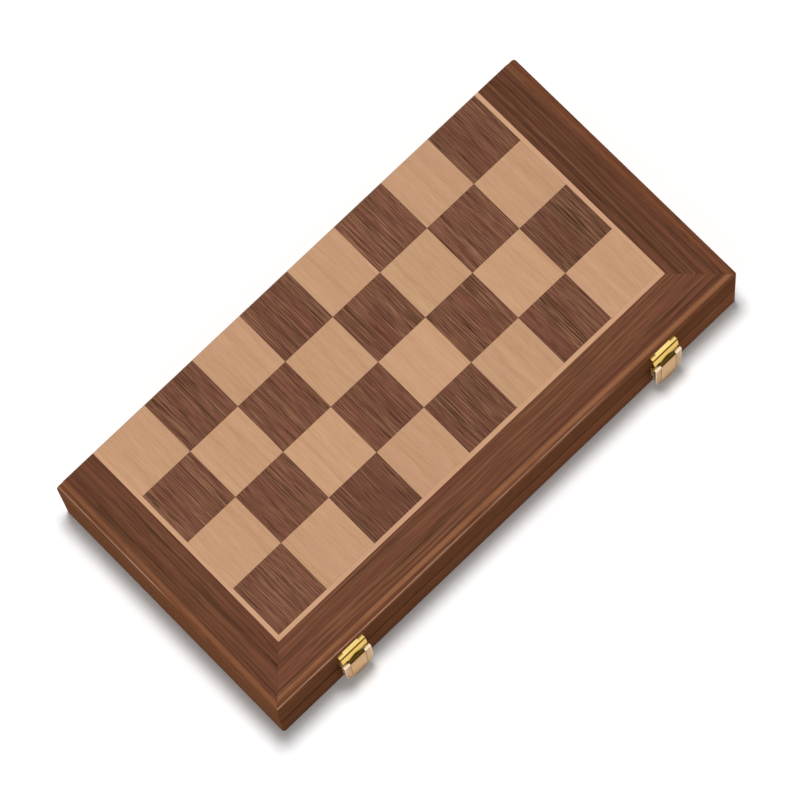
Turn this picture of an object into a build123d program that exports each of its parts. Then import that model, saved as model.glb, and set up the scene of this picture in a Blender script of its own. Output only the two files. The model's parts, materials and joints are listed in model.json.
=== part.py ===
"""Folding chess box in millimetres, closed, +Z up, with its chessmen laid inside.

The outside of each half is one half of the board. The halves are hinged along the back (+Y) and
clasped along the front (-Y). The origin is the centre of the lower playing face, on which it rests.
"""

import os

from build123d import *

# Playing face. The squares run out to a thin edging along the back, where the two halves meet when
# opened.
square = 40.0
files = 8
ranks_per_half = 4
stringing_width = 3.0
border_width = 31.1
back_edging = 0.8
veneer_seam = 0.1
veneer_thickness = 0.6

# Rails and panel of a half. The lip is the part of a rail that stays visible round the panel.
rail_thickness = 9.0
rail_lip = 6.0
panel_thickness = 3.4
corner_radius = 2.0
edge_chamfer = 0.7
rim_chamfer = 0.4
rim_gap = 0.3
back_gap = 0.3

# How far a cutter runs past what it cuts.
cut_past = 1.0

# Chessmen: height and base radius of each, and the room that they get in the tray.
king_height = 70.0
king_radius = 12.0
queen_height = 62.0
queen_radius = 12.0
bishop_height = 54.0
bishop_radius = 11.5
knight_height = 48.0
knight_radius = 11.5
rook_height = 40.0
rook_radius = 11.5
pawn_height = 36.0
pawn_radius = 9.5
foot_height = 4.0
knight_head_thickness = 10.0
man_sides = 10
cross_thickness = 2.4
tray_floor = 1.2
tray_gap = 0.3
tray_end_wall = 6.0
man_clearance = 0.3
lid_headroom = 0.65

# Butt hinges along the back.
hinge_spacing = 220.0
hinge_length = 38.0
hinge_knuckles = 3
leaf_thickness = 1.2
leaf_reach = 7.5
knuckle_radius = 2.5
knuckle_gap = 0.2
hinge_pin_radius = 1.0
bore_clearance = 0.05
press_clearance = 0.02
pocket_clearance = 0.3
mortise_clearance = 0.1
screw_head_radius = 1.6
screw_neck_radius = 0.8
screw_tip_radius = 0.2
screw_length = 9.0
screw_spacing = 22.0
screw_clearance = 0.05
fastener_sides = 8

# Clasps on the front: bracket on the upper half, flap on the bracket's pin, catch on the lower half.
# The pair is set a little left of the middle.
clasp_spacing = 263.4
clasp_pair_shift = -2.5
clasp_width = 22.0
clasp_top_margin = 5.0
clasp_drop = 12.0
clasp_pin_reach = 4.9
clasp_pin_radius = 0.6
roll_radius = 1.3
flap_knuckle_radius = 1.45
bracket_width = 20.6
bracket_thickness = 1.0
bracket_rim_margin = 1.0
bracket_corner = 2.7
hem_reach = 3.0
hem_height = 3.0
hem_tab_width = 12.0
hem_slot = 0.9
crease_width = 0.45
hood_reach = 4.5
hood_drop = 5.8
hood_setback = 1.35
hood_shoulder_drop = 4.3
neck_width = 12.0
neck_offset = 0.2
neck_rise = 2.5
neck_clearance = 0.25
flap_thickness = 1.4
flap_bottom_margin = 5.0
flap_round_height = 15.0
flap_groove = 0.3
tongue_thickness = 0.7
hook_width = 15.0
hook_thickness = 0.8
hook_bite = 1.2
hook_clearance = 0.3
catch_thickness = 0.8
catch_rim_margin = 1.5
catch_inset = 1.5
catch_lip_reach = 2.9
catch_lip_thickness = 1.0
catch_lip_drop = 8.0
brad_head_radius = 1.6
brad_dome_radius = 1.0
brad_head_height = 0.7
brad_shank = 1.2
brad_length = 7.0
brad_spacing = 11.0
brad_clearance = 0.05

# What follows from them.
board_length = files * square + 2 * (stringing_width + border_width)
board_width = ranks_per_half * square + stringing_width + border_width + back_edging
tray_bottom = veneer_thickness + panel_thickness
man_axis_height = tray_bottom + tray_floor + king_radius
rim_height = man_axis_height + king_radius + lid_headroom
half_height = rim_height + rim_gap / 2
closed_height = 2 * half_height
inner_length = board_length - 2 * rail_thickness
inner_width = board_width - 2 * rail_thickness
front, back = -board_width / 2, board_width / 2
hinge_axis_y = back + back_gap / 2
squares_back = back - back_edging
clasp_top = closed_height - clasp_top_margin
clasp_pin_height = clasp_top - clasp_drop
parting_plane = Plane.XY.offset(half_height)
middle_file = (files - 1) / 2

LOW = (Align.CENTER, Align.CENTER, Align.MIN)
os.makedirs("parts", exist_ok=True)


def save(name, solids):
    """Writes one node; the solids of a node stay separate."""
    export_step(Compound(list(solids)), f"parts/{name}.step")


def box(x, y, z):
    """A block between two values on each axis."""
    size = [high - low for low, high in (x, y, z)]
    middle = [(low + high) / 2 for low, high in (x, y, z)]
    return Pos(*middle) * Box(*size)


def slab(outline, bottom, top):
    """A flat piece with the given outline in plan."""
    return Pos(0, 0, bottom) * extrude(Polygon(*outline, align=None), top - bottom, dir=(0, 0, 1))


def rod(radius, x_from, x_to, y, z):
    """A round rod along X."""
    length = x_to - x_from
    return Pos((x_from + x_to) / 2, y, z) * Rot(0, 90, 0) * Cylinder(radius, length)


def turned(outline, sides):
    """A piece turned about Z through (radius, height) points, with so many flats round it."""
    rings = [
        [Vector(radius, 0, height).rotate(Axis.Z, 360 * number / sides) for number in range(sides)]
        for radius, height in outline
    ]
    flats = [
        [low[number - 1], low[number], high[number], high[number - 1]]
        for low, high in zip(rings, rings[1:])
        for number in range(sides)
    ]
    flats += [rings[0], rings[-1]]
    return Solid(Shell([Face(Wire.make_polygon(corners)) for corners in flats]))


def to_upper(piece):
    """The same piece on the upper half, mirrored in the parting plane."""
    return piece.mirror(parting_plane)


# Rails.
def rail_frame():
    """The four rails as one ring, with the rabbet that the panel lies in."""
    ring = Box(board_length, board_width, rim_height, align=LOW)
    ring = fillet(ring.edges().filter_by(Axis.Z), corner_radius)
    ring = chamfer(ring.faces().sort_by(Axis.Z)[0].edges(), edge_chamfer)
    ring = chamfer(ring.faces().sort_by(Axis.Z)[-1].edges(), rim_chamfer)
    inside = (-inner_length / 2, inner_length / 2)
    cut_heights = (-cut_past, rim_height + cut_past)
    panel_side = board_length / 2 - rail_lip
    ring -= box(inside, (-inner_width / 2, inner_width / 2), cut_heights)
    rabbet_back = back + cut_past
    ring -= box((-panel_side, panel_side), (front + rail_lip, rabbet_back), (-cut_past, tray_bottom))
    return ring


def rail_plans():
    """Plan of each rail: mitred at the front, with the back rail between the side rails."""
    outer, inner = board_length / 2, inner_length / 2
    front_inner, back_inner = -inner_width / 2, inner_width / 2
    left = [(-outer, front), (-inner, front_inner), (-inner, back), (-outer, back)]
    return {
        "front": [(-outer, front), (outer, front), (inner, front_inner), (-inner, front_inner)],
        "left": left,
        "right": [(-x, y) for x, y in left],
        "back": [(-inner, back_inner), (inner, back_inner), (inner, back), (-inner, back)],
    }


def rails():
    """The rails of the lower half before anything is let into them."""
    ring = rail_frame()
    return {
        side: (ring & slab(plan, -cut_past, rim_height + cut_past)).solid()
        for side, plan in rail_plans().items()
    }


# Panel and veneers.
def panel():
    side = board_length / 2 - rail_lip
    return box((-side, side), (front + rail_lip, back), (veneer_thickness, tray_bottom))


def mitred_strips(outer_inset, inner_inset):
    """Front, left and right strips between two insets from the outline of the board."""
    x_outer, x_inner = board_length / 2 - outer_inset, board_length / 2 - inner_inset
    y_outer, y_inner = front + outer_inset, front + inner_inset
    left = [(-x_outer, y_outer), (-x_inner, y_inner), (-x_inner, back), (-x_outer, back)]
    outlines = [
        [(-x_outer, y_outer), (x_outer, y_outer), (x_inner, y_inner), (-x_inner, y_inner)],
        left,
        [(-x, y) for x, y in left],
    ]
    return [slab(outline, 0, veneer_thickness) for outline in outlines]


def edging():
    """The thin strip along the back, between the side strips of stringing."""
    side = files * square / 2
    return box((-side, side), (squares_back, back), (0, veneer_thickness))


def veneer_squares(parity):
    """The squares of one colour: those whose file and rank add up to the given parity."""
    side = square - veneer_seam
    chosen = [(i, j) for i in range(files) for j in range(ranks_per_half) if (i + j) % 2 == parity]
    return [
        Pos((i - middle_file) * square, squares_back - square / 2 - j * square, 0)
        * Box(side, side, veneer_thickness, align=LOW)
        for i, j in chosen
    ]


# Chessmen, standing on the origin. Each outline is shares of the base radius and of the height.
def lathe_man(radius, height, shares):
    foot = [(radius, 0), (radius, foot_height)]
    return turned(foot + [(r * radius, h * height) for r, h in shares], man_sides)


def pawn():
    shares = [(0.38, 0.55), (0.66, 0.6), (0.44, 0.65), (0.62, 0.8), (0.5, 0.95), (0.2, 1)]
    return lathe_man(pawn_radius, pawn_height, shares)


def rook():
    """The tower has a sunk top."""
    tower = lathe_man(rook_radius, rook_height, [(0.54, 0.62), (0.74, 0.74), (0.74, 1)])
    well = [(0.5 * rook_radius, 0.88 * rook_height), (0.5 * rook_radius, rook_height + cut_past)]
    return (tower - turned(well, man_sides)).solid()


def knight():
    """A horse's head sawn from a board, on a turned foot."""
    foot = lathe_man(knight_radius, knight_height, [(0.72, 0.3)])
    shares = [
        (-0.6, 0.29), (-0.75, 0.55), (-0.6, 0.82), (-0.2, 0.96), (-0.1, 1.0), (0.05, 0.93),
        (0.75, 0.68), (0.7, 0.58), (0.5, 0.56), (0.15, 0.62), (0.1, 0.54), (0.55, 0.29),
    ]
    outline = [(x * knight_radius, z * knight_height) for x, z in shares]
    head = extrude(Plane.XZ * Polygon(*outline, align=None), knight_head_thickness / 2, both=True)
    return (foot + head).solid()


def bishop():
    """The mitre has one slanting cut."""
    shares = [(0.34, 0.52), (0.64, 0.57), (0.36, 0.62), (0.52, 0.76), (0.4, 0.9), (0.1, 1)]
    body = lathe_man(bishop_radius, bishop_height, shares)
    cut = Box(bishop_radius, bishop_radius, 0.02 * bishop_height)
    return (body - Pos(0.5 * bishop_radius, 0, 0.84 * bishop_height) * Rot(0, -50, 0) * cut).solid()


def queen():
    shares = [(0.34, 0.55), (0.62, 0.6), (0.36, 0.65), (0.6, 0.9), (0.24, 0.94), (0.24, 0.98), (0.1, 1)]
    return lathe_man(queen_radius, queen_height, shares)


def king():
    """The crown carries a plain cross."""
    shares = [(0.34, 0.52), (0.62, 0.57), (0.36, 0.62), (0.6, 0.84), (0.15, 0.89)]
    crown_top, arm = 0.88 * king_height, 0.12 * king_height
    half = cross_thickness / 2
    upright = box((-half, half), (-half, half), (crown_top, king_height))
    bar_height = crown_top + 0.6 * arm
    bar = box((-arm / 3, arm / 3), (-half, half), (bar_height - half, bar_height + half))
    return (lathe_man(king_radius, king_height, shares) + upright + bar).solid()


# Each kind: its maker, base radius, widest radius near its top, height, and its places in the row.
chessmen = {
    "rooks": (rook, rook_radius, 0.74 * rook_radius, rook_height, (0, 7)),
    "knights": (knight, knight_radius, 0.9 * knight_radius, knight_height, (1, 6)),
    "bishops": (bishop, bishop_radius, 0.5 * bishop_radius, bishop_height, (2, 5)),
    "queen": (queen, queen_radius, 0.62 * queen_radius, queen_height, (3,)),
    "king": (king, king_radius, 0.62 * king_radius, king_height, (4,)),
    "pawns": (pawn, pawn_radius, 0.62 * pawn_radius, pawn_height, range(8)),
}
tray_length = inner_length - 2 * tray_gap
tray_width = inner_width - 2 * tray_gap
man_pitch = tray_length / files
base_line = tray_width / 2 - tray_end_wall


def lay_down(upright, kind, place):
    """Lays a standing piece in its place, with its foot towards the front, or the back for pawns."""
    side = 1 if kind == "pawns" else -1
    x = (place - middle_file) * man_pitch
    return Pos(x, side * base_line, man_axis_height) * Rot(90 * side, 0, 0) * upright


def men_of(kind):
    make, *_, places = chessmen[kind]
    standing = make()
    return [lay_down(standing, kind, place) for place in places]


def tray():
    """The fitted tray: a tapered half-round trough under each man, up to the man's own axis."""
    side, end = tray_length / 2, tray_width / 2
    block = box((-side, side), (-end, end), (tray_bottom, man_axis_height))
    for kind, (_, base, top, height, places) in chessmen.items():
        taper = (base - top) / (height - foot_height)
        length = height + 2 * man_clearance
        wide = base + man_clearance + taper * (foot_height + man_clearance)
        tip = wide - taper * length
        trough = turned([(wide, -man_clearance), (tip, height + man_clearance)], man_sides)
        for place in places:
            block -= lay_down(trough, kind, place)
    return block.solid()


# Hinges. Knuckles are counted from the left; the lower leaf has the odd ones.
def hinge_centres():
    return {"left": -hinge_spacing / 2, "right": hinge_spacing / 2}


def screw_outline(clearance):
    head, neck = screw_head_radius + clearance, screw_neck_radius + clearance
    return [(head, 0), (neck, -leaf_thickness), (screw_tip_radius + clearance, -screw_length - clearance)]


def at_screws(piece, centre):
    """Copies of a piece whose top is set on the face of the lower leaf at its screw places."""
    y = back - (leaf_reach + knuckle_radius) / 2
    return [Pos(centre + dx, y, rim_height) * piece for dx in (-screw_spacing / 2, screw_spacing / 2)]


def hinge_leaf(centre, first_knuckle):
    """The leaf of the lower half, with every second knuckle from the given one."""
    leaf_edge = back - knuckle_radius
    flat = (rim_height - leaf_thickness, rim_height)
    half = hinge_length / 2
    leaf = box((centre - half, centre + half), (back - leaf_reach, leaf_edge), flat)
    pitch = hinge_length / hinge_knuckles
    for number in range(first_knuckle, hinge_knuckles, 2):
        start = centre - half + number * pitch + knuckle_gap / 2
        end = start + pitch - knuckle_gap
        leaf += rod(knuckle_radius, start, end, hinge_axis_y, half_height)
        leaf += box((start, end), (leaf_edge - leaf_thickness, hinge_axis_y), flat)
    bore = hinge_pin_radius + bore_clearance
    leaf -= rod(bore, centre - half - cut_past, centre + half + cut_past, hinge_axis_y, half_height)
    for hole in at_screws(turned(screw_outline(screw_clearance), fastener_sides), centre):
        leaf -= hole
    return leaf.solid()


def hinge_pin(centre):
    half = (hinge_length - knuckle_gap) / 2
    return rod(hinge_pin_radius, centre - half, centre + half, hinge_axis_y, half_height)


def let_in_hinges(rail):
    """Cuts the lower back rail for the knuckles, the leaves and the screws."""
    for centre in hinge_centres().values():
        half = hinge_length / 2
        pocket = half + pocket_clearance
        radius = knuckle_radius + pocket_clearance
        rail -= rod(radius, centre - pocket, centre + pocket, hinge_axis_y, half_height)
        mortise = half + mortise_clearance
        floor = rim_height - leaf_thickness
        rail -= box(
            (centre - mortise, centre + mortise),
            (back - leaf_reach - mortise_clearance, back + cut_past),
            (floor, rim_height + cut_past),
        )
        for hole in at_screws(turned(screw_outline(screw_clearance), fastener_sides), centre):
            rail -= hole
    return rail.solid()


# Clasps. Their side view is drawn outwards from the front face and up from the table.
def clasp_centres():
    half = clasp_spacing / 2
    return {"left": clasp_pair_shift - half, "right": clasp_pair_shift + half}


def side_view(centre):
    return Plane(origin=(centre, front, 0), x_dir=(0, -1, 0), z_dir=(-1, 0, 0))


def bent_sheet(outline, centre, width):
    """A side view extruded across the given width."""
    return extrude(side_view(centre) * make_face(outline), width / 2, both=True)


def clasp_block(centre, width, outwards, z):
    """A block given by its width and its limits outwards from the front face and in height."""
    half = width / 2
    return box((centre - half, centre + half), (front - outwards[1], front - outwards[0]), z)


def clasp_rod(radius, centre, width):
    half = width / 2
    return rod(radius, centre - half, centre + half, front - clasp_pin_reach, clasp_pin_height)


def at_brads(piece, centre, height, outwards):
    """Copies of a piece that points into the wood at the two brad places of a plate."""
    places = (centre - brad_spacing / 2, centre + brad_spacing / 2)
    return [Pos(x, front - outwards, height) * piece for x in places]


def brad_shaft(clearance, start):
    half = brad_shank / 2 + clearance
    return box((-half, half), (start, brad_length + clearance), (-half, half))


def brad():
    """A brad that points to the back, with its head's underside on the origin."""
    head = turned([(brad_head_radius, 0), (brad_dome_radius, brad_head_height)], fastener_sides)
    return (Rot(90, 0, 0) * head + brad_shaft(0, -brad_head_height / 2)).solid()


def drill_for_brads(piece, height, plate_thickness):
    """Cuts a plate, or the rail behind it, for the brads that hold the plate."""
    hole = brad_shaft(brad_clearance, -plate_thickness - cut_past)
    for centre in clasp_centres().values():
        for cutter in at_brads(hole, centre, height, plate_thickness):
            piece -= cutter
    return piece.solid()


bracket_bottom = half_height + rim_gap / 2 + bracket_rim_margin
bracket_brad_height = (bracket_bottom + clasp_pin_height) / 2
catch_top = rim_height - catch_rim_margin
catch_lip_height = catch_top - catch_lip_drop
hook_height = catch_lip_height - hook_clearance
tongue_reach = clasp_pin_reach - flap_knuckle_radius
flap_face_reach = clasp_pin_reach + flap_knuckle_radius
notch_top = clasp_pin_height - roll_radius - hook_clearance
catch_bottom = flap_bottom_margin + catch_inset
catch_brad_height = (catch_bottom + hook_height - hook_thickness) / 2


def clasp_bracket(centre):
    """One bent sheet: wall plate, hem over its top, creased hood and a neck rolled round the pin."""
    web = clasp_top - hem_height
    crease = hem_reach + crease_width
    shoulder, hood_end = clasp_top - hood_shoulder_drop, clasp_top - hood_drop
    hood_inner = hood_reach - bracket_thickness
    body = Polyline(
        (0, bracket_bottom), (0, clasp_top), (hem_reach, clasp_top), (hem_reach, web),
        (crease, web), (crease, clasp_top - hood_setback), (hood_reach, shoulder),
        (hood_reach, hood_end), (hood_inner, hood_end), (crease, web - bracket_thickness),
        (bracket_thickness, web - bracket_thickness), (bracket_thickness, bracket_bottom),
        close=True,
    )
    sheet = bent_sheet(body, centre, bracket_width)
    slot_width = clasp_width / 2
    slot = (bracket_thickness, bracket_thickness + hem_slot)
    slot_heights = (web + bracket_thickness / 2, clasp_top + cut_past)
    for direction in (-1, 1):
        x = centre + direction * (hem_tab_width + slot_width) / 2
        sheet -= clasp_block(x, slot_width, slot, slot_heights)
    outer = clasp_pin_reach + neck_offset + bracket_thickness / 2
    inner = outer - bracket_thickness
    bend = clasp_pin_height + neck_rise
    neck = Polyline((inner, bend), (inner, clasp_pin_height), (outer, clasp_pin_height), (outer, bend)) + [
        TangentArc((outer, bend), (hood_reach, shoulder), tangent=(0, 1)),
        Line((hood_reach, shoulder), (hood_inner, hood_end)),
        TangentArc((inner, bend), (hood_inner, hood_end), tangent=(0, 1)),
    ]
    sheet += bent_sheet(neck, centre, neck_width)
    sheet += clasp_rod(roll_radius, centre, neck_width)
    sheet -= clasp_rod(clasp_pin_radius + press_clearance, centre, clasp_width)
    sheet = drill_for_brads(sheet, bracket_brad_height, bracket_thickness)
    lower_edges = sheet.edges().filter_by(Axis.Y).group_by(Axis.Z)[0]
    return fillet(lower_edges, bracket_corner).solid()


def rounded_plate(centre, half_width, bottom, top, outwards):
    """An upright plate whose lower end is half an ellipse."""
    middle = bottom + flap_round_height
    shape = Pos(0, middle) * Ellipse(half_width, flap_round_height)
    shape += Pos(0, (middle + top) / 2) * Rectangle(2 * half_width, top - middle)
    facing = Plane(origin=(centre, front - outwards[0], 0), x_dir=(1, 0, 0), z_dir=(0, -1, 0))
    plate = extrude(facing * shape, outwards[1] - outwards[0])
    return plate & clasp_block(centre, clasp_width, (0, 2 * flap_face_reach), (0, top))


def clasp_flap(centre):
    """Front plate, two rolled knuckles and the inner tongue with the hook, from one sheet."""
    outer = (flap_face_reach - flap_thickness, flap_face_reach)
    plate = rounded_plate(centre, clasp_width / 2, flap_bottom_margin, clasp_pin_height, outer)
    tongue_bottom = hook_height - hook_thickness
    tongue = (tongue_reach, tongue_reach + tongue_thickness)
    flap = plate + clasp_rod(flap_knuckle_radius, centre, clasp_width)
    flap += clasp_block(centre, clasp_width, tongue, (tongue_bottom, clasp_pin_height))
    foot = (catch_lip_reach - hook_bite, tongue[1])
    flap += clasp_block(centre, hook_width, foot, (tongue_bottom, hook_height))
    above = (notch_top, clasp_pin_height + 2 * flap_knuckle_radius)
    flap -= clasp_block(centre, neck_width + 2 * neck_clearance, (0, 2 * flap_face_reach), above)
    flap -= clasp_rod(clasp_pin_radius + bore_clearance, centre, clasp_width + cut_past)
    for direction in (-1, 1):
        x = centre + direction * (neck_width / 2 + neck_clearance)
        groove = (flap_face_reach - flap_groove, flap_face_reach + cut_past)
        groove_bottom = flap_bottom_margin + flap_round_height / 2
        flap -= clasp_block(x, 2 * flap_groove, groove, (groove_bottom, notch_top))
    return flap.solid()


def clasp_catch(centre):
    """The plate on the lower half, with the lip that the hook goes under."""
    half = clasp_width / 2 - catch_inset
    plate = rounded_plate(centre, half, catch_bottom, catch_top, (0, catch_thickness))
    lip = (catch_lip_height, catch_lip_height + catch_lip_thickness)
    plate += clasp_block(centre, hook_width, (0, catch_lip_reach), lip)
    return drill_for_brads(plate, catch_brad_height, catch_thickness)


def clasp_pin(centre):
    return clasp_rod(clasp_pin_radius, centre, clasp_width - 2 * neck_clearance)


def clasp_brads(height, thickness):
    return [
        piece
        for centre in clasp_centres().values()
        for piece in at_brads(brad(), centre, height, thickness)
    ]


# The two halves.
lower_rails = rails()
lower_rails["back"] = let_in_hinges(lower_rails["back"])
for half, place in (("lower", lambda piece: piece), ("upper", to_upper)):
    if half == "lower":
        brad_height, plate_thickness = catch_brad_height, catch_thickness
    else:
        brad_height, plate_thickness = bracket_brad_height, bracket_thickness
    for side, rail in lower_rails.items():
        rail = place(rail)
        if side == "front":
            rail = drill_for_brads(rail, brad_height, plate_thickness)
        save(f"{half}_{side}_rail", [rail])
    save(f"{half}_panel", [place(panel())])
    border = mitred_strips(rail_lip, border_width) + [edging()]
    save(f"{half}_border_veneer", [place(strip) for strip in border])
    inlay = mitred_strips(border_width, border_width + stringing_width)
    save(f"{half}_stringing", [place(strip) for strip in inlay])
    dark = 0 if half == "lower" else 1
    save(f"{half}_dark_squares", [place(piece) for piece in veneer_squares(dark)])
    save(f"{half}_light_squares", [place(piece) for piece in veneer_squares(1 - dark)])
    save(f"{half}_tray", [place(tray())])
    colour = "light" if half == "lower" else "dark"
    for kind in chessmen:
        save(f"{colour}_{kind}", [place(man) for man in men_of(kind)])

# Hinges and their screws.
screw = turned(screw_outline(0), fastener_sides)
screws = [piece for centre in hinge_centres().values() for piece in at_screws(screw, centre)]
save("lower_hinge_screws", screws)
save("upper_hinge_screws", [to_upper(piece) for piece in screws])
for side, centre in hinge_centres().items():
    save(f"lower_hinge_leaf_{side}", [hinge_leaf(centre, 0)])
    save(f"upper_hinge_leaf_{side}", [to_upper(hinge_leaf(centre, 1))])
    save(f"hinge_pin_{side}", [hinge_pin(centre)])

# Clasps and their brads.
for side, centre in clasp_centres().items():
    save(f"clasp_bracket_{side}", [clasp_bracket(centre)])
    save(f"clasp_flap_{side}", [clasp_flap(centre)])
    save(f"clasp_pin_{side}", [clasp_pin(centre)])
    save(f"clasp_catch_{side}", [clasp_catch(centre)])
save("clasp_bracket_brads", clasp_brads(bracket_brad_height, bracket_thickness))
save("clasp_catch_brads", clasp_brads(catch_brad_height, catch_thickness))
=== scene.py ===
# Dresses the folding chess box and lights it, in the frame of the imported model. Named lengths are in
# metres, and in the sections from the trays on in millimetres.
import json
import math

import bpy
from mathutils import Matrix, Vector

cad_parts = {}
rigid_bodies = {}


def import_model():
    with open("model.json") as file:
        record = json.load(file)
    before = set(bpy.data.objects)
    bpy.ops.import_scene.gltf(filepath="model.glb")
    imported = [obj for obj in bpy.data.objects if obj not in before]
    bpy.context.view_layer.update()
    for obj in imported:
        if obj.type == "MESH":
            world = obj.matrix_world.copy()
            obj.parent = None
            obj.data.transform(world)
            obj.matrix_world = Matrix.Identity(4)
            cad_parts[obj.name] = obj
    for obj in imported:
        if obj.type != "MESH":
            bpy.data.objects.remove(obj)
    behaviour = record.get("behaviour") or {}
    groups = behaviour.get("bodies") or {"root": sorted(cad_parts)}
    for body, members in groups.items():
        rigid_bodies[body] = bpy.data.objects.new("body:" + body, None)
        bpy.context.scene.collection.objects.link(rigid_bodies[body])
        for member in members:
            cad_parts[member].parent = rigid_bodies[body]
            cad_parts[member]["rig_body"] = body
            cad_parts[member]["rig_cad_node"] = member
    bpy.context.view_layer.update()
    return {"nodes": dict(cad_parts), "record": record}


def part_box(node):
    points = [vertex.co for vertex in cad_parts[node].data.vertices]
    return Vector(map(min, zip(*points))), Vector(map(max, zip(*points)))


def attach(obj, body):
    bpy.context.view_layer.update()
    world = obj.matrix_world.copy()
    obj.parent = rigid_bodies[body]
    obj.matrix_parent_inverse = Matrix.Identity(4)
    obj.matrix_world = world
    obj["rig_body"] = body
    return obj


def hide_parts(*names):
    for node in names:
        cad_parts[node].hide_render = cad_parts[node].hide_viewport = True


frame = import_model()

# Camera, floor and light.
# The camera stands where its perspective fits the corners of the squares. The floor is plain white
# paper that keeps the shadow, under one soft lamp high over the box and two weak ones beside it.
camera_place = Vector((-0.42663, -0.65257, 2.99106))
look_azimuth, look_down, camera_roll = (math.radians(angle) for angle in (33.132, 75.326, 11.197))
lens_mm = 224.7
camera_reach = 50
floor_size = 14.0
floor_drop = 0.0002
floor_white = 0.94
floor_glow = 0.07
world_light = 0.2

forward = Vector((
    math.sin(look_azimuth) * math.cos(look_down),
    math.cos(look_azimuth) * math.cos(look_down),
    -math.sin(look_down),
))
level = forward.cross(Vector((0, 0, 1))).normalized()
to_right = level * math.cos(camera_roll) + forward.cross(level) * math.sin(camera_roll)
camera_data = bpy.data.cameras.new("camera")
camera_data.lens = lens_mm
camera_data.sensor_fit = "HORIZONTAL"
camera_data.clip_end = camera_reach
camera = bpy.data.objects.new("camera", camera_data)
camera.matrix_world = Matrix.Translation(camera_place) @ Matrix(
    (to_right, -forward.cross(to_right), -forward)
).transposed().to_4x4()
bpy.context.scene.collection.objects.link(camera)
bpy.context.scene.camera = camera
bpy.context.scene.view_settings.view_transform = "Standard"


def add_node(tree, kind, sockets=None, **settings):
    """Adds a shader node. Sockets maps a socket to a value or to the output that feeds it."""
    node = tree.nodes.new("ShaderNode" + kind)
    for setting, value in settings.items():
        setattr(node, setting, value)
    for socket, value in (sockets or {}).items():
        if isinstance(value, bpy.types.NodeSocket):
            tree.links.new(value, node.inputs[socket])
        else:
            node.inputs[socket].default_value = value
    return node


def math_node(tree, operation, *values, clamp=False):
    """One Math node; returns its output."""
    sockets = dict(enumerate(values))
    return add_node(tree, "Math", sockets, operation=operation, use_clamp=clamp).outputs[0]


def new_material(name):
    """An empty material; returns it with its tree and its output node."""
    material = bpy.data.materials.new(name)
    material.use_nodes = True
    material.node_tree.nodes.clear()
    return material, material.node_tree, add_node(material.node_tree, "OutputMaterial")


def seen_directly(tree):
    """1 for rays from the camera and for those that metal or glass sends on, else 0."""
    light_path = add_node(tree, "LightPath").outputs
    bright = math_node(tree, "MAXIMUM", light_path["Is Camera Ray"], light_path["Is Glossy Ray"])
    return math_node(tree, "MAXIMUM", bright, light_path["Is Transmission Ray"])


bpy.ops.object.select_all(action="DESELECT")
bpy.ops.mesh.primitive_plane_add(size=floor_size, location=(0, 0, -floor_drop))
floor = bpy.context.object
floor.name = "floor"
floor_paper, tree, output = new_material("floor_paper")
diffuse = add_node(tree, "BsdfDiffuse", {"Color": (floor_white,) * 3 + (1,)})
glow_strength = math_node(tree, "MULTIPLY", seen_directly(tree), floor_glow)
glow = add_node(tree, "Emission", {"Strength": glow_strength})
both = add_node(tree, "AddShader", {0: diffuse.outputs[0], 1: glow.outputs[0]})
tree.links.new(both.outputs[0], output.inputs["Surface"])
floor.data.materials.append(floor_paper)

world = bpy.data.worlds.new("studio")
world.use_nodes = True
bpy.context.scene.world = world
tree = world.node_tree
shown = math_node(tree, "MULTIPLY", seen_directly(tree), 1 - world_light)
tree.links.new(math_node(tree, "ADD", shown, world_light), tree.nodes["Background"].inputs["Strength"])
tree.nodes["Background"].inputs["Color"].default_value = (1, 1, 1, 1)


def soft_lamp(name, place, size, power):
    """A square area lamp that faces the middle of the box and isn't mirrored in glossy surfaces."""
    lamp_data = bpy.data.lights.new(name, "AREA")
    lamp_data.size = size
    lamp_data.energy = power
    lamp = bpy.data.objects.new(name, lamp_data)
    lamp.location = place
    lamp.rotation_euler = (-Vector(place)).to_track_quat("-Z", "Y").to_euler()
    lamp.visible_camera = False
    lamp.visible_glossy = False
    bpy.context.scene.collection.objects.link(lamp)


soft_lamp("key_lamp", (0.13, 0.23, 2.5), size=0.5, power=52)
soft_lamp("side_lamp", (-2.4, -0.6, 1.0), size=1.2, power=9)
soft_lamp("front_lamp", (1.0, -2.6, 1.1), size=1.2, power=4)

# Rails.
# Solid walnut, sawn lengthwise and mitred at the front, with a small chamfer along every outer edge.
# Along the front, just inside the chamfer, a light line is painted: partly bare wood where the lacquer has
# worn off, partly painted highlight where the edge starts to round over.
rail_lip = 0.006
board_half_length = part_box("lower_panel")[1].x + rail_lip
board_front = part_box("lower_front_rail")[0].y
board_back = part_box("lower_back_rail")[1].y
box_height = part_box("upper_front_rail")[1].z


def srgb(red, green, blue):
    """A colour given in screen values of 0 to 255, as the linear colour that a shader takes."""
    return tuple(((value / 255 + 0.055) / 1.055) ** 2.4 for value in (red, green, blue)) + (1.0,)


def new_group(name, inputs, outputs):
    """An empty shader node group; returns it with its input and output nodes."""
    group = bpy.data.node_groups.new(name, "ShaderNodeTree")
    for in_out, sockets in (("INPUT", inputs), ("OUTPUT", outputs)):
        for label, kind in sockets.items():
            group.interface.new_socket(label, in_out=in_out, socket_type="NodeSocket" + kind)
    return group, group.nodes.new("NodeGroupInput"), group.nodes.new("NodeGroupOutput")


def add_group(tree, group, sockets):
    """Places a node group in a tree; returns its outputs."""
    return add_node(tree, "Group", sockets, node_tree=group).outputs


def scaled(tree, vector, scale):
    """A vector times another, which may be a plain tuple; returns the output."""
    return add_node(tree, "VectorMath", {0: vector, 1: scale}, operation="MULTIPLY").outputs[0]


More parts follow.
